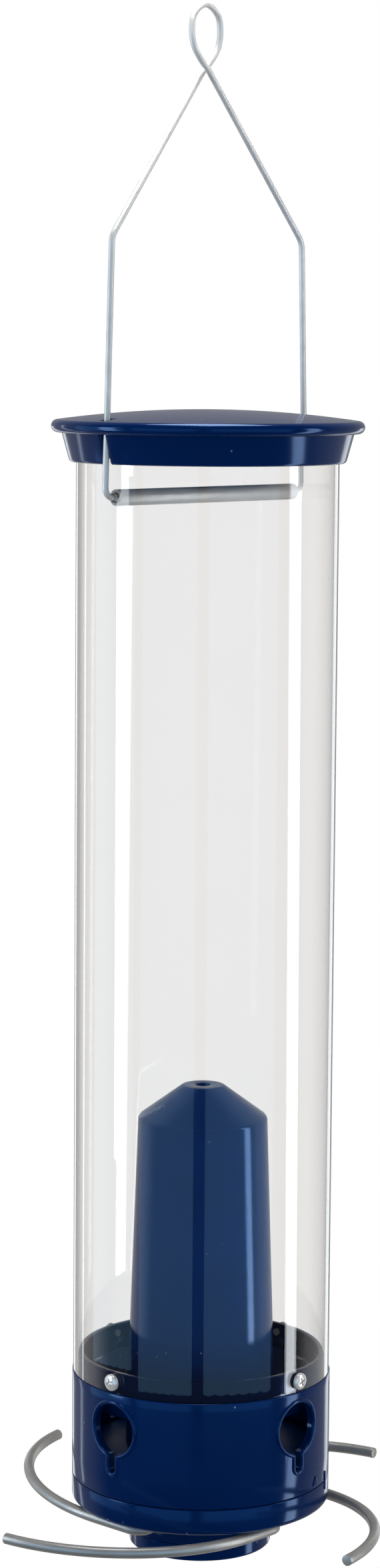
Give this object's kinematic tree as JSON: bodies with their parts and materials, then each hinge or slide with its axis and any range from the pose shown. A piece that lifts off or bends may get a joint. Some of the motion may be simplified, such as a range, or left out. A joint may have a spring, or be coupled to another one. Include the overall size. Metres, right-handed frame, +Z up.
{
  "type": "hanging tube bird feeder",
  "caption": "Hanging clear-tube seed feeder with a wire bail, lift-up cap, round feeding ports and sprung curved perches that dip under weight.",
  "frame": {"origin": "where a hook bears on the inside of the hanging loop", "axes": "+Z up along the tube, Y in the plane of the bail with -Y towards the leg seen at the front left, X across it"},
  "size_m": [0.221, 0.2204, 0.7135],
  "materials": {
    "navy_plastic": "glossy moulded dark blue plastic",
    "inner_plastic": "glossy moulded blue plastic seen through the tube",
    "clear_plastic": "clear tube, slightly grey",
    "brushed_steel": "brushed stainless wire and rod",
    "aluminium": "drawn tube, satin",
    "bush_plastic": "dark bearing plastic"
  },
  "bodies": {
    "feeder": {"clear_tube": "clear_plastic", "hanging_bail": "brushed_steel", "port_ring": "navy_plastic", "port_hood_1": "navy_plastic", "port_hood_2": "navy_plastic", "port_hood_3": "navy_plastic", "port_hood_4": "navy_plastic", "tube_screw_1": "brushed_steel", "tube_screw_2": "brushed_steel", "tube_screw_3": "brushed_steel", "tube_screw_4": "brushed_steel"},
    "crossbar": {"crossbar_sleeve": "aluminium"},
    "cap": {"cap": "navy_plastic"},
    "base": {"base_ring": "navy_plastic", "seed_floor": "inner_plastic", "seed_tower": "inner_plastic", "tie_rod": "brushed_steel", "hub_housing": "navy_plastic", "hub_cover": "navy_plastic", "hub_screw_1": "brushed_steel", "hub_screw_2": "brushed_steel", "hub_screw_3": "brushed_steel", "hub_screw_4": "brushed_steel", "perch_bush_1": "bush_plastic", "perch_bush_2": "bush_plastic", "perch_bush_3": "bush_plastic", "perch_bush_4": "bush_plastic", "perch_spring_1": "brushed_steel", "perch_spring_2": "brushed_steel", "perch_spring_3": "brushed_steel", "perch_spring_4": "brushed_steel"},
    "perch_1": {"perch_rod_1": "brushed_steel", "perch_crank_1": "bush_plastic"},
    "perch_2": {"perch_rod_2": "brushed_steel", "perch_crank_2": "bush_plastic"},
    "perch_3": {"perch_rod_3": "brushed_steel", "perch_crank_3": "bush_plastic"},
    "perch_4": {"perch_rod_4": "brushed_steel", "perch_crank_4": "bush_plastic"}
  },
  "joints": [
    {"name": "cap_lift", "type": "slide", "parent": "feeder", "child": "cap", "axis": [0, 0, 1], "range_m": [0, 0.07]},
    {"name": "sleeve_spin", "type": "hinge", "parent": "feeder", "child": "crossbar", "pos_m": [0, 0.0031, -0.2177], "axis": [0, 1, 0], "continuous": true},
    {"name": "base_twist", "type": "hinge", "parent": "feeder", "child": "base", "pos_m": [0, 0.0031, -0.677], "axis": [0, 0, -1], "range_deg": [0, 15]},
    {"name": "perch_dip_1", "type": "hinge", "parent": "base", "child": "perch_1", "pos_m": [0.03282, 0.00658, -0.6944], "axis": [0.9944, 0.1054, 0], "range_deg": [0, 65], "stiffness_Nm_per_rad": 0.05, "springref_deg": -148.97, "deforming": ["perch_spring_1"]},
    {"name": "perch_dip_2", "type": "hinge", "parent": "base", "child": "perch_2", "pos_m": [0.00593, -0.02936, -0.6944], "axis": [0.1797, -0.9837, 0], "range_deg": [0, 65], "stiffness_Nm_per_rad": 0.05, "springref_deg": -148.97, "deforming": ["perch_spring_2"]},
    {"name": "perch_dip_3", "type": "hinge", "parent": "base", "child": "perch_3", "pos_m": [-0.03265, -0.00169, -0.6944], "axis": [-0.9894, -0.1452, 0], "range_deg": [0, 65], "stiffness_Nm_per_rad": 0.05, "springref_deg": -148.97, "deforming": ["perch_spring_3"]},
    {"name": "perch_dip_4", "type": "hinge", "parent": "base", "child": "perch_4", "pos_m": [-0.00411, 0.03584, -0.6944], "axis": [-0.1245, 0.9922, 0], "range_deg": [0, 65], "stiffness_Nm_per_rad": 0.05, "springref_deg": -148.97, "deforming": ["perch_spring_4"]}
  ]
}
